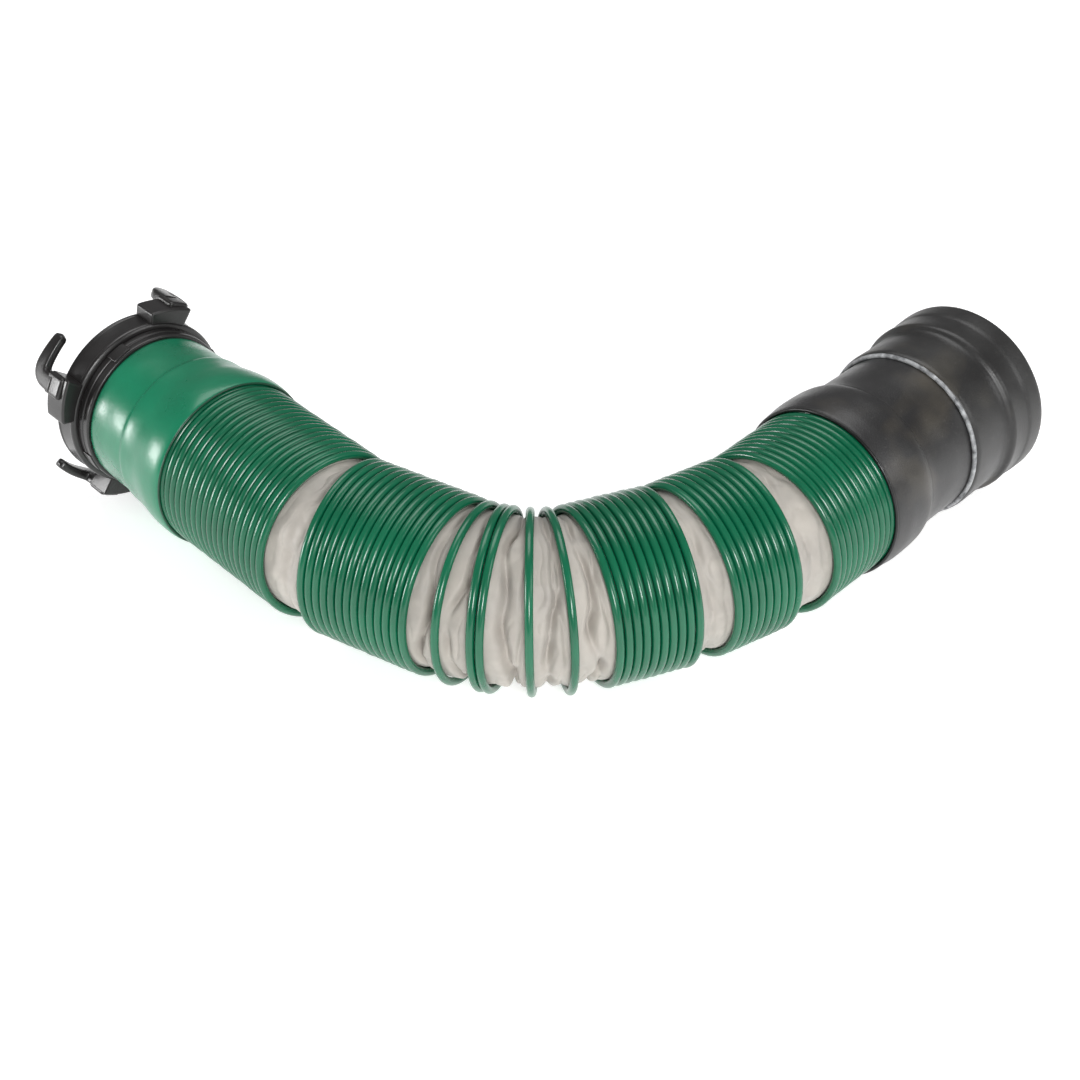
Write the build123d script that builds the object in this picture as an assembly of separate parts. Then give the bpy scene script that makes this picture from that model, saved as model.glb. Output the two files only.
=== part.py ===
"""Short curved sewer hose kit: bayonet fitting, spring-wire hose with liner, slip-on coupler.

The hose axis runs through a plane that leans a little, so that the part lies on the floor on
the coupler, the middle of the hose and one hook of the lug ring. Origin: centre of the inlet
face. +X runs towards the coupler end, +Z is up. Millimetres.
"""

import math
import os

from build123d import *

# ---- hose wire and liner ----
coil_r = 45.4            # outside radius of the wire coil
wire_d = 4.15            # coated wire
turn_gap = 0.3           # between two closed turns
wire_web = 1.2           # thickness of the web between closed turns
liner_wall = 1.1
liner_gap = 0.15         # liner to wire

# ---- blocks of turns from the inlet end to the coupler end ----
# name, turns, bend in degrees before the block
blocks = [
    ("a", 21, 0.0),
    ("b1", 7, 15.5),
    ("b2", 7, 0.0),
    ("loop1", 1, 8.5),
    ("loop2", 1, 8.5),
    ("loop3", 1, 0.0),
    ("loop4", 1, 12.5),
    ("loop5", 1, 11.0),
    ("c", 10, 11.5),
    ("d1", 5, 11.0),
    ("d2", 4, 0.0),
    ("e", 13, 14.5),
]
heading = -46.5          # of the inlet end, about +Z from +X
lean_x = 2.99            # lean of the hose plane about the row's X axis
lean_y = 0.765           # and about its Y axis

# ---- inlet end, distances along the axis from the green cuff's lip ----
cuff_cover = 2.5         # turns hidden in each cuff
cuff_len = 67.5
spigot_r = 39.6
spigot_wall = 3.1
cuff_wall = 2.1          # rubber over the coil
cuff_lip_wall = 1.2
cuff_neck_wall = 2.6     # rubber over the spigot
spigot_len = 52.0
barb_h = 0.9
barb_count = 3
barb_len = 3.0           # slope up to the barb's edge
barb_back = 0.2          # and its steep back
soft_gap = 0.1           # rubber to the plastic or wire it grips
throat_gap = 0.4         # spigot's end to the rubber between it and the coil
collar_step = 1.8        # collar over the cuff's neck
collar_w = 8.6
plastic_edge = 0.8       # chamfer of the fitting's outer edges
collar_tabs = 4
ring_step = 3.1          # band of the lug ring over the collar
ring_w = 15.2
ring_neck_wall = 4.5     # fitting wall under the ring
ring_run = 0.35          # radial room between ring and neck
ring_side = 0.4          # side play each way
lip_h = 2.0              # front lip that keeps the ring on
lip_w = 3.0
gasket_w = 4.4
gasket_inset = 0.7
gasket_t = 3.2
gasket_seat = 1.4

# ---- hooks of the lug ring ----
hook_count = 4
hook_h = 10.9            # outside of the hooks over the ring's band
hook_block_deg = 27.0
hook_claw_deg = 38.0
hook_leg_deg = 10.0
hook_claw_t = 6.2        # radial thickness
hook_claw_w = 6.0        # along the axis
hook_reach = 13.5        # how far the claw stands in front of the ring
hook_turn = 25.0         # of the first hook from the top

# ---- coupler end, distances from the black cuff's lip ----
end_lip_wall = 1.6
end_wall = 2.9           # rubber over the coil
end_step_at = 32.0
end_neck_wall = 4.9      # rubber over the inner sleeve
end_len = 92.0
coupler_at = 70.0
coupler_end = 128.0
coupler_rim_wall = 2.6   # rubber over the black cuff's neck
coupler_flare_at = 101.0
pipe_wall = 4.8          # rubber round the pipe
pipe_r = 44.6            # bore for an 88.9 mm pipe
stub_r = 39.4            # rigid sleeve inside the black cuff
stub_wall = 2.8
stub_len = 70.0

wire_pitch = wire_d + turn_gap
pivot_r = coil_r - wire_d / 2
liner_r = coil_r - wire_d - liner_gap
liner_bore_r = liner_r - liner_wall
spigot_bore_r = spigot_r - spigot_wall
grip = spigot_r + barb_h + soft_gap
over_coil = coil_r + soft_gap
cuff_neck_r = spigot_r + cuff_neck_wall
throat_r = spigot_r + throat_gap
cuff_bulge_r = max(coil_r, throat_r) + cuff_wall
cuff_lip_r = coil_r + cuff_lip_wall
collar_r = cuff_neck_r + collar_step
ring_neck_r = spigot_bore_r + ring_neck_wall
ring_r = collar_r + ring_step
lip_r = ring_neck_r + lip_h
gasket_bore_r = spigot_bore_r + gasket_inset
gasket_r = gasket_bore_r + gasket_w
hook_r = ring_r + hook_h
end_lip_r = coil_r + end_lip_wall
end_bulge_r = coil_r + end_wall
end_neck_r = stub_r + end_neck_wall
stub_bore_r = stub_r - stub_wall
coupler_rim_r = end_neck_r + coupler_rim_wall
coupler_flare_r = pipe_r + pipe_wall
os.makedirs("parts", exist_ok=True)


def along(x):
    """Frame whose Z runs down the hose axis and whose X points to the inside of the curve."""
    return Plane(origin=(x, 0, 0), x_dir=(0, 1, 0), z_dir=(1, 0, 0))


def turned(points, closed=True):
    """Solid of revolution about the hose axis from (distance, radius) points."""
    outline = make_face(Polyline(*[(s, r) for s, r in points], close=closed))
    return revolve(outline, axis=Axis.X)


def coil(turns):
    """Closed turns of wire, joined by a thin web, as one ribbed sleeve; a single turn is a ring."""
    r = wire_d / 2
    if turns == 1:
        section = Pos(wire_pitch / 2, pivot_r) * Circle(r)
        return revolve(section, axis=Axis.X)
    w = wire_web / 2
    a = math.sqrt(r * r - w * w)
    mid = [wire_pitch * (i + 0.5) for i in range(turns)]
    first, last = mid[0], mid[-1]
    low, high = pivot_r - w, pivot_r + w
    edges = [ThreePointArc((first + a, low), (first - r, pivot_r), (first + a, high))]
    for before, s in zip(mid, mid[1:-1]):
        edges.append(Line((before + a, high), (s - a, high)))
        edges.append(ThreePointArc((s - a, high), (s, pivot_r + r), (s + a, high)))
    edges.append(Line((mid[-2] + a, high), (last - a, high)))
    edges.append(ThreePointArc((last - a, high), (last + r, pivot_r), (last - a, low)))
    for after, s in zip(reversed(mid), reversed(mid[1:-1])):
        edges.append(Line((after - a, low), (s + a, low)))
        edges.append(ThreePointArc((s + a, low), (s, pivot_r - r), (s - a, low)))
    edges.append(Line((mid[1] - a, low), (first + a, low)))
    return revolve(make_face(Curve() + edges), axis=Axis.X)


def tube(start, end, outer, inner):
    ring = along(start) * (Circle(outer) - Circle(inner))
    return extrude(ring, amount=end - start)


def sector(r_in, r_out, s0, s1, deg0, deg1):
    """Ring sector; angles run from the top towards the inside of the curve."""
    lo, hi = math.radians(deg0), math.radians(deg1)
    steps = max(3, round((deg1 - deg0) / 3))
    arc = [lo + (hi - lo) * i / steps for i in range(steps + 1)]
    outer = [(r_out * math.sin(a), r_out * math.cos(a)) for a in arc]
    inner = [(r_in * math.sin(a), r_in * math.cos(a)) for a in reversed(arc)]
    face = make_face(Polyline(*outer, *inner, close=True))
    return extrude(along(s0) * face, amount=s1 - s0)


# ---- placing: one frame per block, pivot on the inside of the curve ----
lean = Location((0, 0, 0), (lean_x, lean_y, 0))
front = -(cuff_len + collar_w + ring_side * 2 + ring_w + lip_w)
hidden = cuff_cover * wire_pitch
inlet = lean * Location((0, 0, 0), (0, 0, heading)) * Location((-front, 0, 0))
frames = {}
place = inlet * Location((-hidden, 0, 0))
for name, turns, bend in blocks:
    if bend:
        pivot = Location((0, pivot_r, 0))
        place = place * pivot * Location((0, 0, 0), (0, 0, bend)) * pivot.inverse()
    frames[name] = place
    place = place * Location((turns * wire_pitch, 0, 0))
outlet = place * Location((-hidden, 0, 0))

nodes = {}

# ---- wire and liner of each block ----
bends = {name: bend for name, turns, bend in blocks}
ends = {name: turns * wire_pitch for name, turns, bend in blocks}
order = list(bends)
for i, (name, turns, bend) in enumerate(blocks):
    nodes["wire_" + name] = frames[name] * coil(turns)
    if turns > 1:
        last = i == len(blocks) - 1
        low = wire_pitch / 2 if i else 0
        high = turns * wire_pitch - (0 if last else wire_pitch / 2)
        liner = tube(low, high, liner_r, liner_bore_r)
        nodes["liner_" + name] = frames[name] * liner

# ---- liner folds that bridge from block to block ----
for before, after in zip(order, order[1:]):
    span = wire_pitch / 2
    end = ends[before]
    fold = tube(end - span, end, liner_r, liner_bore_r)
    if bends[after]:
        ring = along(end) * (Circle(liner_r) - Circle(liner_bore_r))
        hinge = Axis((end, pivot_r, 0), (0, 0, 1))
        fold = fold + revolve(ring, axis=hinge, revolution_arc=bends[after])
    fold = frames[before] * fold
    fold = fold + frames[after] * tube(0, span, liner_r, liner_bore_r)
    nodes["liner_fold_" + before + "_" + after] = fold

# ---- fitting body with barbed spigot ----
neck_front = -(cuff_len + collar_w + 2 * ring_side + ring_w)
profile = [
    (-(cuff_len - spigot_len), spigot_bore_r),
    (-(cuff_len - spigot_len), spigot_r),
]
barb_step = spigot_len / (barb_count + 1)
for i in range(barb_count):
    s = -(cuff_len - spigot_len) - barb_step * (i + 0.6)
    edge = s - barb_len
    profile += [(s, spigot_r), (edge, spigot_r + barb_h), (edge - barb_back, spigot_r)]
profile += [
    (-cuff_len, spigot_r),
    (-cuff_len, collar_r - plastic_edge),
    (-cuff_len - plastic_edge, collar_r),
    (-cuff_len - collar_w, collar_r),
    (-cuff_len - collar_w, ring_neck_r),
    (neck_front, ring_neck_r),
    (neck_front, lip_r),
    (front + plastic_edge, lip_r),
    (front, lip_r - plastic_edge),
    (front, gasket_r + 0.1),
    (front + gasket_seat, gasket_r + 0.1),
    (front + gasket_seat, spigot_bore_r),
]
body = turned(profile)
for i in range(collar_tabs):
    deg = hook_turn + 45 + 360 * i / collar_tabs
    tab = (-cuff_len - collar_w, -cuff_len - 1.2, deg - 7, deg + 7)
    body = body + sector(collar_r - 1.0, collar_r + 1.1, *tab)
nodes["fitting_body"] = inlet * body
gasket = tube(front + gasket_seat - gasket_t, front + gasket_seat, gasket_r, gasket_bore_r)
nodes["face_gasket"] = inlet * gasket

# ---- lug ring with its hooks ----
ring_back = -cuff_len - collar_w - ring_side
ring_front = ring_back - ring_w
ring = turned(
    [
        (ring_back, ring_neck_r + ring_run),
        (ring_back, ring_r - 1.2),
        (ring_back - 1.2, ring_r),
        (ring_front + 1.0, ring_r),
        (ring_front, ring_r - 1.0),
        (ring_front, ring_neck_r + ring_run),
    ]
)
for i in range(hook_count):
    deg = hook_turn + 360 * i / hook_count
    half = hook_block_deg / 2
    claw_front = ring_front - hook_reach
    claw_in = hook_r - hook_claw_t
    block = sector(ring_r - 1.5, hook_r, ring_front, ring_back, deg - half, deg + half)
    rear = along(ring_back) * Rot(0, 0, -deg) * Pos(0, hook_r, 0) * Box(60, 9, 7)
    block = block - rear
    leg_deg = (deg - hook_leg_deg / 2, deg + hook_leg_deg / 2)
    leg = sector(claw_in, hook_r, claw_front, ring_front + 2, *leg_deg)
    claw_deg = (leg_deg[0], leg_deg[0] + hook_claw_deg)
    claw = sector(claw_in, hook_r, claw_front, claw_front + hook_claw_w, *claw_deg)
    ring = ring + block + leg + claw
nodes["lug_ring"] = inlet * ring

# ---- green cuff ----
cuff = turned(
    [
        (-cuff_len + 0.2, grip),
        (-cuff_len + 0.2, cuff_neck_r),
        (-40.0, cuff_neck_r + 0.8),
        (-38.0, cuff_neck_r + 1.2),
        (-30.0, cuff_neck_r + 0.9),
        (-25.0, cuff_neck_r + 1.6),
        (-18.0, cuff_bulge_r - 1.4),
        (-12.0, cuff_bulge_r),
        (-4.0, cuff_bulge_r - 0.2),
        (-0.6, cuff_lip_r + 0.3),
        (0.0, cuff_lip_r - 0.2),
        (0.0, over_coil),
        (-hidden - 0.4, over_coil),
        (-hidden - 0.4, throat_r),
        (-(cuff_len - spigot_len) - 2.0, throat_r),
        (-(cuff_len - spigot_len) - 4.0, grip),
    ]
)
nodes["green_cuff"] = inlet * cuff

# ---- black cuff, its inner sleeve and the coupler ----
stub_at = hidden + 0.6
stub = tube(stub_at, stub_at + stub_len, stub_r, stub_bore_r)
nodes["inner_sleeve"] = outlet * stub
end_cuff = turned(
    [
        (0.0, over_coil),
        (0.0, end_lip_r - 0.2),
        (1.2, end_lip_r + 0.4),
        (10.0, end_bulge_r),
        (24.0, end_bulge_r),
        (end_step_at, end_neck_r + 0.8),
        (end_step_at + 4, end_neck_r),
        (end_len, end_neck_r),
        (end_len, stub_r + soft_gap),
        (hidden + 0.4, stub_r + soft_gap),
        (hidden + 0.4, over_coil),
    ]
)
nodes["black_cuff"] = outlet * end_cuff
coupler = turned(
    [
        (coupler_at + 2.0, end_neck_r + soft_gap),
        (coupler_at, end_neck_r + 1.0),
        (coupler_at + 1.6, coupler_rim_r),
        (coupler_at + 6, coupler_rim_r + 0.4),
        (coupler_flare_at - 4, coupler_rim_r + 0.2),
        (coupler_flare_at + 3, coupler_flare_r - 0.3),
        (coupler_end - 3, coupler_flare_r + 0.1),
        (coupler_end - 0.8, coupler_flare_r),
        (coupler_end, coupler_flare_r - 1.0),
        (coupler_end, pipe_r + 1.0),
        (coupler_end - 1.5, pipe_r),
        (end_len + 3.0, pipe_r),
        (end_len + 3.0, stub_r),
        (end_len + 0.1, stub_r),
        (end_len + 0.1, end_neck_r + soft_gap),
    ]
)
nodes["coupler"] = outlet * coupler

for name, shape in nodes.items():
    solid = shape.solids()
    if len(solid) != 1 or not solid[0].is_valid:
        print(name, "has", len(solid), "solids")
    export_step(solid[0], f"parts/{name}.step")
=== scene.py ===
import math
import bpy
from mathutils import Matrix, Vector, noise


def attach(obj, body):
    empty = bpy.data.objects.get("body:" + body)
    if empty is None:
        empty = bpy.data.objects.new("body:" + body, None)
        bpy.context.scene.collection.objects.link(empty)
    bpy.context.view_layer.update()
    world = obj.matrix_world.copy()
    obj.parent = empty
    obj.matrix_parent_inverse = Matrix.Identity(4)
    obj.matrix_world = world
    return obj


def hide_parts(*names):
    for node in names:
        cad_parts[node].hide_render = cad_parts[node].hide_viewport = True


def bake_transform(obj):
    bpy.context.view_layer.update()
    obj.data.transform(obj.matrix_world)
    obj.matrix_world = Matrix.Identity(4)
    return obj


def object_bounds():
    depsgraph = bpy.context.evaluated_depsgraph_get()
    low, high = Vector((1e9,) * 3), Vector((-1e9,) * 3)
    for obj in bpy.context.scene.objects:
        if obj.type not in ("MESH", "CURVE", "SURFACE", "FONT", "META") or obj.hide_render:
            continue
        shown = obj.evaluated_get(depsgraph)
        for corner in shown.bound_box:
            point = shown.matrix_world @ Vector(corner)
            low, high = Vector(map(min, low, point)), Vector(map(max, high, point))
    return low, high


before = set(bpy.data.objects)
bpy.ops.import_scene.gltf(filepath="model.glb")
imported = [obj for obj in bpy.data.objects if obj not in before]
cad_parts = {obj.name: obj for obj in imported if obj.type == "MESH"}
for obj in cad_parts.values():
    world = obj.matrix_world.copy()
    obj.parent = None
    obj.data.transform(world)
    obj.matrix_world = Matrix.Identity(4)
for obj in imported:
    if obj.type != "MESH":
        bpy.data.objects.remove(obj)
CAD_BOX = [list(map(float, v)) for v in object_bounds()]
MM = 0.001

# ---- sizes, millimetres, as in the CAD ----
COIL_R = 45.4
WIRE_D = 4.15
PITCH = 4.45
PIVOT_R = COIL_R - WIRE_D / 2
LINER_GAP = 0.15
LINER_R = COIL_R - WIRE_D - LINER_GAP
LINER_T = 1.1
LINER_BORE = LINER_R - LINER_T
BLOCKS = [                # block, turns, degrees of bend before it
    ("a", 21, 0.0), ("b1", 7, 15.5), ("b2", 7, 0.0), ("loop1", 1, 8.5),
    ("loop2", 1, 8.5), ("loop3", 1, 0.0), ("loop4", 1, 12.5), ("loop5", 1, 11.0),
    ("c", 10, 11.5), ("d1", 5, 11.0), ("d2", 4, 0.0), ("e", 13, 14.5),
]
SLIDES = ("b2", "loop3", "d2")
HEADING = -46.5          # from the hose's X axis to the way into the inlet
LEAN = (2.99, 0.765)     # of the hose's plane, about X and then Y
COVER_TURNS = 2.5        # hidden in each cuff
HIDDEN = COVER_TURNS * PITCH
SOFT_GAP = 0.1           # rubber to what it grips
OVER_COIL = COIL_R + SOFT_GAP
CUFF_LEN = 67.5
SPIGOT_R = 39.6
SPIGOT_BORE = 36.5
SPIGOT_END = -15.5
BARB_H = 0.9
BARB_PITCH = 13.0
COLLAR_R = 44.0
COLLAR_W = 8.6
RING_W = 15.2
RING_SIDE = 0.4
LIP_W = 3.0
LIP_R = 43.0
NECK_R = 41.0
SEAT_R = 41.7
SEAT_DEPTH = 1.4
SLEEVE_LEN = 70.0
FRONT = -(CUFF_LEN + COLLAR_W + 2 * RING_SIDE + RING_W + LIP_W)


def rot(deg, axis):
    return Matrix.Rotation(math.radians(deg), 4, axis)


def shift(x, y=0.0, z=0.0):
    return Matrix.Translation((x, y, z))


LEAN_M = rot(LEAN[0], "X") @ rot(LEAN[1], "Y")
INLET = LEAN_M @ rot(HEADING, "Z") @ shift(-FRONT)
FRAMES = {}
place = INLET @ shift(-HIDDEN)
for name, turns, bend in BLOCKS:
    if bend:
        place = place @ shift(0, PIVOT_R) @ rot(bend, "Z") @ shift(0, -PIVOT_R)
    FRAMES[name] = place.copy()
    place = place @ shift(turns * PITCH)
OUTLET = place @ shift(-HIDDEN)
BODY = {n: ("inlet_end" if n == "a" else "hose_" + n) for n, t, b in BLOCKS}
TURNS = {n: t for n, t, b in BLOCKS}
BEND = {n: b for n, t, b in BLOCKS}


# ---- mesh helpers ----
def new_mesh(name, verts, faces, material):
    me = bpy.data.meshes.new(name)
    me.from_pydata([Vector(v) * MM for v in verts], [], faces)
    me.validate()
    me.polygons.foreach_set("use_smooth", [True] * len(me.polygons))
    me.materials.append(material)
    ob = bpy.data.objects.new(name, me)
    bpy.context.collection.objects.link(ob)
    me.update()
    return ob


def grid_faces(rows, cols, wrap_rows=False):
    """Quads of a grid of points whose columns close into a ring."""
    out = []
    for i in range(rows if wrap_rows else rows - 1):
        for j in range(cols):
            a = i * cols + j
            b = i * cols + (j + 1) % cols
            c = ((i + 1) % rows) * cols + (j + 1) % cols
            d = ((i + 1) % rows) * cols + j
            out.append((a, b, c, d))
    return out


def rounded(points, radius=0.6, steps=3):
    """Closed outline with every corner turned into a short arc."""
    out = []
    n = len(points)
    for i in range(n):
        p = Vector(points[i])
        a = Vector(points[i - 1]) - p
        b = Vector(points[(i + 1) % n]) - p
        r = min(radius, a.length * 0.45, b.length * 0.45)
        if r < 0.03:
            out.append(tuple(p))
            continue
        s = p + a.normalized() * r
        e = p + b.normalized() * r
        for k in range(steps + 1):
            t = k / steps
            q = s * (1 - t) ** 2 + p * 2 * t * (1 - t) + e * t * t
            out.append((q.x, q.y))
    return out


def dense(points, step):
    """Closed outline with points added so that none are further apart than the step."""
    out = []
    n = len(points)
    for i in range(n):
        a = Vector(points[i])
        b = Vector(points[(i + 1) % n])
        k = max(1, math.ceil((b - a).length / step))
        for j in range(k):
            q = a.lerp(b, j / k)
            out.append((q.x, q.y))
    return out


def turned(name, points, matrix, material, segs=144, wobble=None):
    """Closed outline of (distance, radius) points turned about the hose axis."""
    verts = []
    for s, r in points:
        for j in range(segs):
            a = math.tau * j / segs
            rr = r + (wobble(s, r, a) if wobble else 0.0)
            verts.append(matrix @ Vector((s, rr * math.sin(a), rr * math.cos(a))))
    faces = grid_faces(len(points), segs, wrap_rows=True)
    return new_mesh(name, verts, faces, material)


# ---- materials ----
def nodes_of(name):
    m = bpy.data.materials.new(name)
    m.use_nodes = True
    nt = m.node_tree
    return m, nt, nt.nodes["Principled BSDF"]


def add(nt, kind, **values):
    node = nt.nodes.new(kind)
    for key, value in values.items():
        if key in node.inputs:
            node.inputs[key].default_value = value
        else:
            setattr(node, key, value)
    return node


def ramp(nt, source, stops):
    r = nt.nodes.new("ShaderNodeValToRGB")
    el = r.color_ramp.elements
    el[0].position, el[0].color = stops[0][0], stops[0][1]
    el[1].position, el[1].color = stops[-1][0], stops[-1][1]
    for pos, col in stops[1:-1]:
        e = el.new(pos)
        e.color = col
    nt.links.new(source, r.inputs["Fac"])
    return r


def grey(v):
    return (v, v, v, 1.0)


def surface_nodes(name, base, dark, rough, scale=60.0, bump=0.15, fine=900.0, spec=0.5, coat=0.0,
                  rough_span=0.12, distance=0.0004, sheen=0.0):
    """Mottled base colour, uneven roughness and a fine bump, all from noise."""
    m, nt, b = nodes_of(name)
    tc = add(nt, "ShaderNodeTexCoord")
    n1 = add(nt, "ShaderNodeTexNoise", Scale=scale, Detail=5.0, Roughness=0.55)
    n2 = add(nt, "ShaderNodeTexNoise", Scale=fine, Detail=3.0, Roughness=0.6)
    for n in (n1, n2):
        nt.links.new(tc.outputs["Object"], n.inputs["Vector"])
    c = ramp(nt, n1.outputs["Fac"], [(0.3, dark), (0.7, base)])
    nt.links.new(c.outputs["Color"], b.inputs["Base Color"])
    half = rough_span / 2
    r = ramp(nt, n1.outputs["Fac"], [(0.25, grey(rough - half)), (0.75, grey(rough + half))])
    nt.links.new(r.outputs["Color"], b.inputs["Roughness"])
    bp = add(nt, "ShaderNodeBump", Strength=bump, Distance=distance)
    nt.links.new(n2.outputs["Fac"], bp.inputs["Height"])
    nt.links.new(bp.outputs["Normal"], b.inputs["Normal"])
    b.inputs["Specular IOR Level"].default_value = spec
    b.inputs["Coat Weight"].default_value = coat
    b.inputs["Coat Roughness"].default_value = 0.12
    b.inputs["Sheen Weight"].default_value = sheen
    return m, nt, b, c


def surface(*args, **kwargs):
    return surface_nodes(*args, **kwargs)[0]


def cuff_vinyl():
    """Slightly translucent soft PVC."""
    m, _, b, _ = surface_nodes("green_cuff_pvc", (0.004, 0.20, 0.098, 1), (0.003, 0.150, 0.072, 1), 0.29,
                               scale=28, bump=0.12, fine=260, coat=0.12, rough_span=0.14,
                               distance=0.0006)
    b.inputs["Subsurface Weight"].default_value = 0.08
    b.inputs["Subsurface Radius"].default_value = (0.002, 0.006, 0.004)
    return m


def rubber_dust_and_reflection(name, base, dark, dust_and_reflection_colour, rough):
    """Black rubber with brownish patches, partly dust and partly painted warm reflection, and faint specks.
    """
    m, nt, b, c = surface_nodes(name, base, dark, rough, scale=45, bump=0.3, fine=1300, rough_span=0.16)
    tc = add(nt, "ShaderNodeTexCoord")
    big = add(nt, "ShaderNodeTexNoise", Scale=16.0, Detail=3.0, Roughness=0.5, Distortion=0.4)
    speck = add(nt, "ShaderNodeTexNoise", Scale=420.0, Detail=4.0, Roughness=0.7)
    for n in (big, speck):
        nt.links.new(tc.outputs["Object"], n.inputs["Vector"])
    # Brownish patches: partly dust, partly a painted warm reflection.
    dust_and_reflection_patches = ramp(nt, big.outputs["Fac"], [(0.50, grey(0.0)), (0.72, grey(0.55))])
    specks = ramp(nt, speck.outputs["Fac"], [(0.60, grey(0.0)), (0.75, grey(0.6))])
    dust_and_reflection_mix = add(nt, "ShaderNodeMix", data_type="RGBA")
    dust_and_reflection_mix.inputs[7].default_value = dust_and_reflection_colour
    nt.links.new(dust_and_reflection_patches.outputs["Color"], dust_and_reflection_mix.inputs[0])
    nt.links.new(c.outputs["Color"], dust_and_reflection_mix.inputs[6])
    specked = add(nt, "ShaderNodeMix", data_type="RGBA")
    specked.inputs[7].default_value = (0.16, 0.15, 0.14, 1)
    faint = add(nt, "ShaderNodeMath", operation="MULTIPLY")
    faint.inputs[1].default_value = 0.35
    nt.links.new(specks.outputs["Color"], faint.inputs[0])
    nt.links.new(faint.outputs[0], specked.inputs[0])
    nt.links.new(dust_and_reflection_mix.outputs[2], specked.inputs[6])
    nt.links.new(specked.outputs[2], b.inputs["Base Color"])
    return m


WIRE = surface("green_pvc_wire", (0.002, 0.135, 0.062, 1), (0.001, 0.10, 0.045, 1), 0.24, scale=35,
               bump=0.05, fine=500, coat=0.1, rough_span=0.08)
# Near-black green of the web: painted shade that darkens the gaps between the closed turns.
WEB_SHADE = surface("web_pvc", (0.0008, 0.022, 0.010, 1), (0.0005, 0.013, 0.006, 1), 0.6, scale=120,
              bump=0.2, fine=900, spec=0.25)
LINER = surface("liner_vinyl", (0.47, 0.435, 0.39, 1), (0.37, 0.345, 0.315, 1), 0.5, scale=40,
                bump=0.25, fine=1600, spec=0.35, sheen=0.15, distance=0.0003)
GREEN = cuff_vinyl()
# Dark green of the cuff's lip: painted shade along the edge where the cuff meets the wire.
LIP_GREEN_SHADE = surface("cuff_lip_pvc", (0.001, 0.055, 0.024, 1), (0.001, 0.038, 0.016, 1), 0.36, scale=90,
                    bump=0.2, fine=900)
PLASTIC = surface("black_plastic", (0.018, 0.0165, 0.0165, 1), (0.010, 0.0095, 0.0095, 1), 0.30,
                  scale=50, bump=0.2, fine=1500, rough_span=0.12, coat=0.12, distance=0.0003)
SEAL = surface("seal_rubber", (0.02, 0.02, 0.02, 1), (0.012, 0.012, 0.012, 1), 0.6, bump=0.3)
SLEEVE = surface("grey_sleeve", (0.10, 0.10, 0.10, 1), (0.07, 0.07, 0.07, 1), 0.45, bump=0.2)
# The brownish patch colour is partly dust and partly a painted warm reflection of the lamps.
CUFF_BLACK = rubber_dust_and_reflection("black_cuff_rubber", (0.026, 0.0255, 0.026, 1), (0.016, 0.0155, 0.016, 1),
                         (0.120, 0.103, 0.076, 1), 0.36)
COUPLER = rubber_dust_and_reflection("coupler_rubber", (0.027, 0.0265, 0.026, 1), (0.017, 0.0165, 0.0165, 1),
                      (0.125, 0.108, 0.078, 1), 0.38)
# Near-black lip of the black cuff: painted shade along the edge where the cuff meets the wire.
LIP_BLACK_SHADE = surface("cuff_lip_rubber", (0.006, 0.006, 0.006, 1), (0.003, 0.003, 0.003, 1), 0.34,
                    scale=90, bump=0.2, fine=900)
RIM = surface("worn_rim", (0.48, 0.49, 0.50, 1), (0.035, 0.037, 0.042, 1), 0.40, scale=230, bump=0.5,
              fine=1500, distance=0.0005)


# ---- wire ----
SIDES = 14
PER_TURN = 72
END_GAP = 0.0012         # turns, where one block's wire stops short of the next
CROSSING = 0.5           # turns of wire that stretch across to a block that slides
FADE = 0.35              # turns over which the drift grows from a block's ends
DRIFT_R = 0.22
DRIFT_S = 0.13


def wire_point(turns, t):
    """Centre of the wire t turns after the block's start; small drift from turn to turn."""
    edge = min(1.0, t / FADE, (turns - t) / FADE)
    edge = max(0.0, edge)
    k = noise.noise(Vector((t * 0.9, turns * 3.1, 0.5)))
    q = noise.noise(Vector((t * 1.3, turns * 5.7, 7.5)))
    a = math.tau * t
    r = PIVOT_R + DRIFT_R * q * edge
    return Vector((PITCH * t + DRIFT_S * k * edge, r * math.cos(a), r * math.sin(a)))


def wire_mesh(name, block, t0, t1):
    """Round wire of one block, from t0 to t1 turns after its start."""
    turns = TURNS[block]
    m = FRAMES[block]
    n = max(12, round((t1 - t0) * PER_TURN))
    verts = []
    for i in range(n + 1):
        t = t0 + (t1 - t0) * i / n
        p = wire_point(turns, t)
        d = (wire_point(turns, t + 1e-3) - wire_point(turns, t - 1e-3)).normalized()
        a = math.tau * t
        u = Vector((0, math.cos(a), math.sin(a)))
        u = (u - d * u.dot(d)).normalized()
        v = d.cross(u)
        for j in range(SIDES):
            b = math.tau * j / SIDES
            verts.append(m @ (p + (u * math.cos(b) + v * math.sin(b)) * (WIRE_D / 2)))
    faces = grid_faces(n + 1, SIDES)
    faces.append(tuple(reversed(range(SIDES))))
    faces.append(tuple(range(n * SIDES, (n + 1) * SIDES)))
    ob = new_mesh(name, verts, faces, WIRE)
    ob.data.set_sharp_from_angle(angle=math.radians(60))
    return ob


names = [b[0] for b in BLOCKS]
for i, (name, turns, _) in enumerate(BLOCKS):
    after = names[i + 1] if i + 1 < len(names) else None
    crossing = after in SLIDES
    stop = turns - CROSSING if crossing else turns - END_GAP
    ob = wire_mesh("wire_coil_" + name, name, END_GAP, stop)
    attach(ob, BODY[name])
    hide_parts("wire_" + name)
    if crossing:
        half = wire_mesh("wire_crossing_" + name, name, turns - CROSSING, turns)
        m = FRAMES[name]
        s = turns * PITCH
        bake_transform(half)

# ---- web between closed turns, near black as painted shade in the gaps, and liner ----
WEB_R = PIVOT_R - 0.3
WEB_T = 0.7
TUBE_STEP = 2.2


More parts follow.
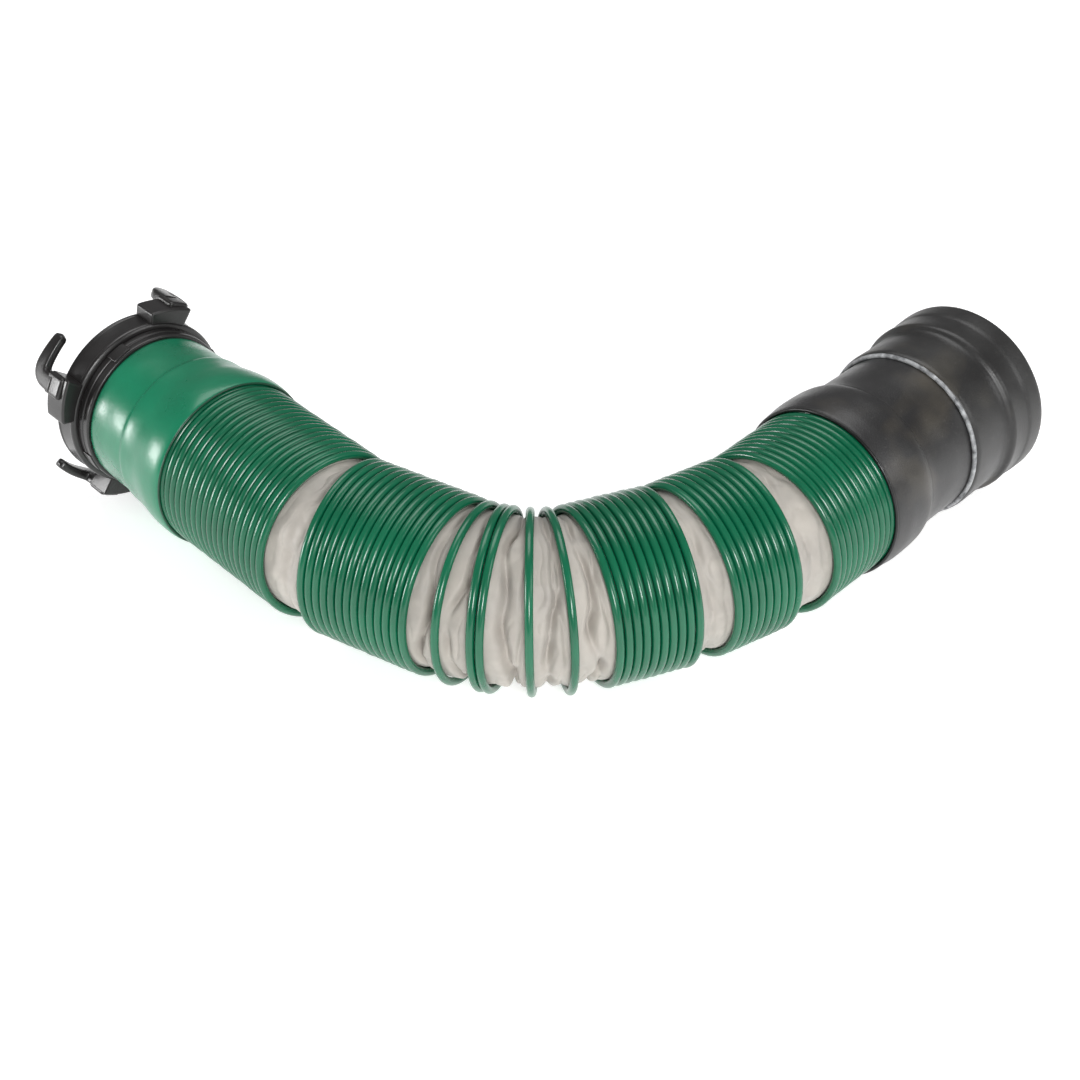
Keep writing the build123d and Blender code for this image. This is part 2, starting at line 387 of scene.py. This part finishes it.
def ribbed(s, r, a):
    """Liner drawn in a little between the turns."""
    return -0.25 + 0.2 * math.cos(math.tau * s / PITCH)


def tube_outline(low, high, outer, inner):
    return dense([(low, outer), (high, outer), (high, inner), (low, inner)], TUBE_STEP)


for i, (name, turns, _) in enumerate(BLOCKS):
    if turns == 1:
        continue
    outline = tube_outline(PITCH, (turns - 1) * PITCH, WEB_R, WEB_R - WEB_T)
    # The web's dark colour is painted shade seen through the gaps between turns.
    ob = turned("wire_web_" + name, outline, FRAMES[name], WEB_SHADE, 120)
    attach(ob, BODY[name])
    low = PITCH / 2 if i else 0.0
    high = turns * PITCH - (0.0 if i == len(BLOCKS) - 1 else PITCH / 2)
    outline = tube_outline(low, high, LINER_R, LINER_BORE)
    ob = turned("liner_tube_" + name, outline, FRAMES[name], LINER, 96, ribbed)
    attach(ob, BODY[name])
    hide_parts("liner_" + name)


SOFT_LIMIT = 0.35        # rounds the folds off where they would reach the wire
SMOOTH_GAP = 4.8         # a gap no wider than this has no folds
FOLD_DEPTH = 0.17        # for each millimetre that the gap is wider
FOLD_MAX = 2.3


def fold_radius(u, a, width, pleat, seed):
    """Liner's outer radius, u of the way across a gap of this width at the angle a."""
    cy, cz = math.cos(a), math.sin(a)
    env = math.sin(math.pi * u) ** 0.8
    amp = min(FOLD_MAX, FOLD_DEPTH * max(0.0, width - SMOOTH_GAP))
    drift = noise.noise(Vector((1.6 * cy + seed, 1.6 * cz, seed * 0.7)))
    valley = math.exp(-(((u - 0.5 - 0.42 * drift) / 0.11) ** 2))
    second = math.exp(-(((u - 0.78 + 0.30 * drift) / 0.07) ** 2))
    deep = 0.75 + 0.9 * noise.noise(Vector((2.7 * cy, 2.7 * cz + seed, 4.0)))
    w1 = noise.noise(Vector((2.1 * cy + seed, 2.1 * cz, u * 1.6 + seed)))
    w2 = noise.noise(Vector((5.5 * cy, 5.5 * cz + seed, u * 1.1 + seed * 2)))
    w3 = noise.noise(Vector((11.0 * cy, 11.0 * cz, u * 2.5 + seed * 3)))
    crease = 1.0 - abs(math.sin(3.0 * a + 5.0 * w1 + 2.2 * u))
    r = LINER_R - 0.15
    r += env * (-0.45 * amp + 0.9 * amp * w1 + 0.45 * amp * w2 + 0.12 * amp * w3)
    r -= env * 0.3 * amp * crease ** 3
    r -= env * pleat * amp * (2.9 * deep * valley + 1.3 * deep * second)
    room = LINER_R - r
    return LINER_R - (room + math.sqrt(room * room + SOFT_LIMIT ** 2)) / 2


def fold_mesh(before, after, seed):
    """Soft liner between two blocks: bulges a little and creases where the gap is wide."""
    s_end = TURNS[before] * PITCH
    bend = BEND[after]
    m = FRAMES[before]
    rows, cols = 44, 200
    half = PITCH / 2
    pleat = 1.0 if 1 in (TURNS[before], TURNS[after]) else 0.3
    verts = []
    for side in (0, 1):
        for i in range(rows):
            u = i / (rows - 1)
            for j in range(cols):
                a = math.tau * j / cols
                cy, cz = math.cos(a), math.sin(a)
                gap = math.radians(bend) * (PIVOT_R - LINER_R * cy)
                total = 2 * half + gap
                x = u * total
                if x < half:
                    s, th = s_end - half + x, 0.0
                elif x > half + gap:
                    s, th = s_end + (x - half - gap), bend
                else:
                    s, th = s_end, bend * (x - half) / gap if gap > 1e-6 else bend
                r = fold_radius(u, a, total, pleat, seed) - LINER_T * side
                p = Vector((s, r * cy, r * cz))
                if th:
                    p = shift(s_end, PIVOT_R) @ rot(th, "Z") @ shift(-s_end, -PIVOT_R) @ p
                verts.append(m @ p)
    faces = []
    base = rows * cols
    for f in grid_faces(rows, cols):
        faces.append(tuple(reversed(f)))
        faces.append(tuple(v + base for v in f))
    for j in range(cols):
        k = (j + 1) % cols
        faces.append((j, k, base + k, base + j))
        e = (rows - 1) * cols
        faces.append((e + k, e + j, base + e + j, base + e + k))
    return new_mesh("liner_soft_" + before + "_" + after, verts, faces, LINER)


for i, (before, after) in enumerate(zip(names, names[1:])):
    ob = fold_mesh(before, after, 3.7 * i + 1.3)
    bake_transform(ob)
    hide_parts("liner_fold_" + before + "_" + after)


# ---- green cuff ----
def soft_cuff(s, r, a):
    """Slight unevenness of the moulded vinyl."""
    p = Vector((s * 0.035, 1.1 * math.cos(a), 1.1 * math.sin(a)))
    q = Vector((s * 0.11, 3.2 * math.cos(a), 3.2 * math.sin(a) + 4.0))
    return 0.34 * noise.noise(p) + 0.16 * noise.noise(q)


def smooth_outline(points, inner, step=1.1):
    """Catmull-Rom through the outer points, then the inner points as they are."""
    out = []
    n = len(points)
    for i in range(n - 1):
        p0 = Vector(points[max(i - 1, 0)])
        p1 = Vector(points[i])
        p2 = Vector(points[i + 1])
        p3 = Vector(points[min(i + 2, n - 1)])
        k = max(2, math.ceil((p2 - p1).length / step))
        for j in range(k):
            t = j / k
            q = 0.5 * (
                2 * p1 + (p2 - p0) * t + (2 * p0 - 5 * p1 + 4 * p2 - p3) * t * t
                + (3 * p1 - p0 - 3 * p2 + p3) * t ** 3
            )
            out.append((q.x, q.y))
    out.append(tuple(points[-1]))
    return out + inner


grip = SPIGOT_R + BARB_H + SOFT_GAP
outer = [
    (-67.2, 42.0), (-66.0, 42.3), (-56.0, 42.6), (-46.0, 42.8), (-40.5, 42.8), (-38.9, 43.0), (-38.0, 43.8),
    (-36.5, 44.3), (-31.0, 44.6), (-25.0, 45.2), (-18.5, 46.4), (-12.0, 47.3), (-5.0, 47.5), (-1.2, 47.0),
    (-0.2, 46.5), (0.0, 46.0),
]
end = -HIDDEN - 0.4
inner = [(0.0, OVER_COIL), (end, OVER_COIL), (end, LINER_BORE), (SPIGOT_END - 2, LINER_BORE),
         (SPIGOT_END - 4, grip), (-67.2, grip)]
ob = turned("green_cuff_skin", smooth_outline(outer, inner), INLET, GREEN, 180, soft_cuff)
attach(ob, "inlet_end")
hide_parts("green_cuff")


def bead(s, r, w, h, steps=14):
    """Oval outline of a bead, half width w along the axis and half height h."""
    angles = [math.tau * k / steps for k in range(steps)]
    return [(s + w * math.cos(a), r + h * math.sin(a)) for a in angles]


# Dark lip bead: a painted shade line at the green cuff's edge.
ob = turned("green_cuff_lip", bead(0.15, 46.0, 0.55, 0.75), INLET, LIP_GREEN_SHADE, 200)
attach(ob, "inlet_end")


# ---- fitting body, gasket ----
def bevelled(ob, width):
    b = ob.modifiers.new("bevel", "BEVEL")
    b.width = width * MM
    b.segments = 3
    b.limit_method = "ANGLE"
    b.angle_limit = math.radians(35)
    b.harden_normals = False
    w = ob.modifiers.new("normals", "WEIGHTED_NORMAL")
    w.keep_sharp = True
    return ob


profile = [(SPIGOT_END, SPIGOT_BORE), (SPIGOT_END, SPIGOT_R)]
for i in range(3):
    s = SPIGOT_END - BARB_PITCH * (i + 0.6)
    profile += [(s, SPIGOT_R), (s - 3.0, SPIGOT_R + BARB_H), (s - 3.2, SPIGOT_R)]
neck_front = FRONT + LIP_W
seat = FRONT + SEAT_DEPTH
profile += [
    (-CUFF_LEN, SPIGOT_R), (-CUFF_LEN, 43.4), (-68.2, COLLAR_R), (-71.6, COLLAR_R), (-71.9, 43.5),
    (-72.6, 43.5), (-72.9, COLLAR_R), (-76.1, COLLAR_R), (-76.1, NECK_R), (neck_front, NECK_R),
    (neck_front, LIP_R), (FRONT, LIP_R), (FRONT, SEAT_R), (seat, SEAT_R), (seat, SPIGOT_BORE),
]
ob = turned("fitting_shell", rounded(profile, 0.4), INLET, PLASTIC, 160)
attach(ob, "inlet_end")
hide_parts("fitting_body")


def sector_mesh(name, r_in, r_out, s0, s1, deg0, deg1, bevel, r_out_end=None):
    """Black plastic ring sector; angles run from the top towards the inside of the curve."""
    n = max(4, round(abs(deg1 - deg0) / 2.5))
    verts = []
    for i in range(n + 1):
        t = i / n
        a = math.radians(deg0 + (deg1 - deg0) * t)
        ro = r_out if r_out_end is None else r_out + (r_out_end - r_out) * t
        for s, r in ((s0, r_in), (s1, r_in), (s1, ro), (s0, ro)):
            verts.append(INLET @ Vector((s, r * math.sin(a), r * math.cos(a))))
    faces = []
    for i in range(n):
        for j in range(4):
            k = (j + 1) % 4
            faces.append((4 * i + j, 4 * i + k, 4 * i + 4 + k, 4 * i + 4 + j))
    faces.append((3, 2, 1, 0))
    faces.append((4 * n, 4 * n + 1, 4 * n + 2, 4 * n + 3))
    return bevelled(new_mesh(name, verts, faces, PLASTIC), bevel)


HOOKS_AT = 25.0          # first hook, degrees from the top
for i in range(4):
    deg = HOOKS_AT + 45.0 + 90.0 * i
    ob = sector_mesh("collar_tab_%d" % (i + 1), 43.0, 44.8, -76.1, -68.7, deg - 7, deg + 7, 0.5)
    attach(ob, "inlet_end")

s0 = seat - 3.2
outline = rounded([(s0, 37.2), (s0, 41.6), (seat, 41.6), (seat, 37.2)], 0.9, 5)
ob = turned("gasket_ring", outline, INLET, SEAL, 140)
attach(ob, "inlet_end")
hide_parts("face_gasket")

# ---- lug ring ----
back = -CUFF_LEN - COLLAR_W - RING_SIDE
front = back - RING_W
profile = [
    (back, 41.4), (back, 45.4), (back - 0.9, 46.9), (back - 2.2, 47.2), (back - 3.0, 46.8),
    (front + 2.6, 46.8), (front + 2.0, 47.2), (front + 0.8, 47.2), (front, 46.2), (front, 41.4),
]
ob = turned("lug_ring_band", rounded(profile, 0.5), INLET, PLASTIC, 160)
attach(ob, "lug_ring")
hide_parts("lug_ring")
HOOK_R = 58.0
CLAW_R = 55.0            # radius at which the claw's path is laid out
LEG_DEG = 6.5            # leg's middle, on from the middle of its block
CLAW_END_DEG = 32.0
CLAW_REACH = 9.6         # claw's middle in front of the ring


def claw_path(deg):
    """Middle of leg and claw as (distance, arc length): forward, round a bend, then along the ring."""
    arc = math.radians(1) * CLAW_R
    start = Vector((front + 4.0, (deg + LEG_DEG) * arc))
    corner = Vector((front - CLAW_REACH, (deg + LEG_DEG) * arc))
    end = Vector((front - CLAW_REACH, (deg + CLAW_END_DEG) * arc))
    bend = 7.5
    before = corner + Vector((bend, 0))
    after = corner + Vector((0, bend))
    path = [start.lerp(before, k / 8) for k in range(8)]
    for k in range(13):
        t = k / 12
        path.append(before * (1 - t) ** 2 + corner * 2 * t * (1 - t) + after * t * t)
    path += [after.lerp(end, k / 14) for k in range(1, 15)]
    return path


def claw_mesh(name, deg):
    """Tapering arm with a rounded rectangular section along the claw's path."""
    path = claw_path(deg)
    n = len(path)
    sides = 28
    verts = []
    for i, p in enumerate(path):
        d = (path[min(i + 1, n - 1)] - path[max(i - 1, 0)]).normalized()
        across = Vector((d.y, -d.x))
        t = i / (n - 1)
        left = (path[-1] - p).length
        tip = math.sqrt(max(0.06, 1 - (1 - min(left / 2.2, 1.0)) ** 2))
        wide = (10.0 - 3.6 * t ** 1.5) * tip / 2
        thick = (6.4 - 1.5 * t) * tip / 2
        mid = HOOK_R - 3.2 - 0.5 * t
        for j in range(sides):
            a = math.tau * j / sides
            x = math.copysign(abs(math.cos(a)) ** 0.45, math.cos(a))
            y = math.copysign(abs(math.sin(a)) ** 0.45, math.sin(a))
            q = p + across * (x * wide)
            ang = q.y / CLAW_R
            r = mid + y * thick
            verts.append(INLET @ Vector((q.x, r * math.sin(ang), r * math.cos(ang))))
    faces = grid_faces(n, sides)
    faces.append(tuple(reversed(range(sides))))
    faces.append(tuple(range((n - 1) * sides, n * sides)))
    return new_mesh(name, verts, faces, PLASTIC)


for i in range(4):
    deg = HOOKS_AT + 90.0 * i
    n = str(i + 1)
    block = (front, back, deg - 13.5, deg + 13.5)
    top = (front - 0.5, back - 3.0, deg + 0.5, deg + 13.0)
    parts = [
        sector_mesh("hook_block_" + n, 45.6, 53.0, *block, 1.3, 56.6),
        sector_mesh("hook_top_" + n, 51.5, 57.4, *top, 1.6, 57.9),
        claw_mesh("hook_claw_" + n, deg),
    ]
    for p in parts:
        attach(p, "lug_ring")


# ---- coupler end ----
def soft_rubber(s, r, a):
    """Slight unevenness of the moulded rubber."""
    p = Vector((s * 0.03 + 9.0, 1.2 * math.cos(a), 1.2 * math.sin(a)))
    q = Vector((s * 0.09, 3.0 * math.cos(a), 3.0 * math.sin(a) + 2.0))
    return 0.30 * noise.noise(p) + 0.14 * noise.noise(q)


outer = [
    (0.0, 46.2), (0.2, 46.9), (1.2, 47.4), (5.0, 47.9), (12.0, 48.5), (22.0, 48.4), (27.5, 47.7),
    (30.4, 46.6), (31.4, 45.6), (33.0, 45.4), (37.0, 44.9), (44.0, 44.6), (58.0, 44.4), (70.0, 44.3),
    (91.0, 44.2), (92.0, 43.8),
]
inner = [(92.0, 39.5), (HIDDEN + 0.4, 39.5), (HIDDEN + 0.4, OVER_COIL), (0.0, OVER_COIL)]
ob = turned("black_cuff_skin", smooth_outline(outer, inner), OUTLET, CUFF_BLACK, 180, soft_rubber)
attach(ob, "hose_e")
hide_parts("black_cuff")
# Dark lip bead: a painted shade line at the black cuff's edge.
ob = turned("black_cuff_lip", bead(-0.2, 46.45, 0.8, 1.05), OUTLET, LIP_BLACK_SHADE, 200)
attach(ob, "hose_e")
outer = [
    (72.0, 44.75), (70.6, 45.0), (70.1, 45.8), (70.8, 46.7), (72.6, 47.2), (76.0, 47.2), (84.0, 47.0),
    (92.0, 46.8), (95.5, 46.7), (98.0, 46.9), (99.6, 47.6), (100.6, 48.8), (102.2, 49.5), (104.5, 49.4),
    (110.0, 49.0), (114.5, 49.0), (116.5, 49.5), (125.0, 49.7), (127.0, 49.2), (127.8, 48.4), (128.0, 47.4),
]
inner = [(128.0, 45.6), (126.5, 44.6), (95.0, 44.6), (95.0, 39.6), (92.3, 39.6), (92.3, 44.75)]
ob = turned("coupler_skin", smooth_outline(outer, inner), OUTLET, COUPLER, 180, soft_rubber)
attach(ob, "hose_e")
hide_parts("coupler")


def uneven(s, r, a):
    """Worn edge: the rubber's unevenness and a finer one."""
    return soft_rubber(s, r, a) + 0.12 * noise.noise(Vector((s, 14 * math.cos(a), 14 * math.sin(a))))


ob = turned("coupler_worn_rim", bead(69.9, 45.35, 1.25, 1.2), OUTLET, RIM, 240, uneven)
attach(ob, "hose_e")
s0 = HIDDEN + 0.6
s1 = s0 + SLEEVE_LEN
outline = rounded([(s0, 36.6), (s0, 39.4), (s1, 39.4), (s1, 36.6)])
ob = turned("sleeve_tube", outline, OUTLET, SLEEVE, 120)
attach(ob, "hose_e")
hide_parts("inner_sleeve")

# ---- stage, light and camera ----
floor_z = CAD_BOX[0][2]
m, _, b = nodes_of("pale_floor")
b.inputs["Base Color"].default_value = (0.93, 0.93, 0.93, 1)
b.inputs["Roughness"].default_value = 0.9
b.inputs["Emission Color"].default_value = (1, 1, 1, 1)
b.inputs["Emission Strength"].default_value = 0.55
me = bpy.data.meshes.new("floor")
FLOOR_HALF = 8
corners = [(x * FLOOR_HALF, y * FLOOR_HALF, floor_z) for x, y in ((-1, -1), (1, -1), (1, 1), (-1, 1))]
me.from_pydata(corners, [], [(0, 1, 2, 3)])
me.materials.append(m)
floor = bpy.data.objects.new("floor", me)
bpy.context.collection.objects.link(floor)


def softbox(name, where, aim, size, power):
    """Rectangular lamp, places and sizes in metres and power in watts."""
    d = bpy.data.lights.new(name, "AREA")
    d.shape = "RECTANGLE"
    d.size, d.size_y = size
    d.energy = power
    o = bpy.data.objects.new(name, d)
    o.location = where
    o.rotation_euler = (Vector(aim) - Vector(where)).to_track_quat("-Z", "Y").to_euler()
    bpy.context.collection.objects.link(o)


aim = (0.23, -0.10, -0.01)
softbox("front_box", (0.55, -1.55, 0.75), aim, (0.55, 0.45), 18)
softbox("left_box", (-1.5, -0.15, 0.20), aim, (0.42, 0.42), 13)
softbox("right_box", (1.7, -0.5, 0.7), aim, (0.6, 0.6), 5)
softbox("top_box", (0.2, 0.45, 1.5), aim, (1.5, 0.9), 13)
world = bpy.data.worlds.new("studio")
bpy.context.scene.world = world
world.use_nodes = True
background = world.node_tree.nodes["Background"]
background.inputs["Color"].default_value = (1, 1, 1, 1)
background.inputs["Strength"].default_value = 0.22

# Camera, set out in the leaning frame of the hose's plane, whose origin is the fitting's front face.
EYE = (224.5465, -886.6511, 608.904)
DOWN = math.radians(38.87)
eye = LEAN_M @ Vector(EYE)
look = LEAN_M.to_3x3() @ Vector((0, math.cos(DOWN), -math.sin(DOWN)))
up = LEAN_M.to_3x3() @ Vector((0, math.sin(DOWN), math.cos(DOWN)))
right = look.cross(up)
cam = bpy.data.cameras.new("camera")
cam.sensor_width = 36
cam.lens = 65.5
cam.clip_start, cam.clip_end = 0.01, 50
cam.dof.use_dof = False
ob = bpy.data.objects.new("camera", cam)
basis = Matrix((right, up, -look)).transposed().to_4x4()
ob.matrix_world = Matrix.Translation(eye * MM) @ basis
bpy.context.collection.objects.link(ob)
bpy.context.scene.camera = ob
bpy.context.scene.view_settings.view_transform = "Standard"
bpy.context.scene.view_settings.exposure = 0.0
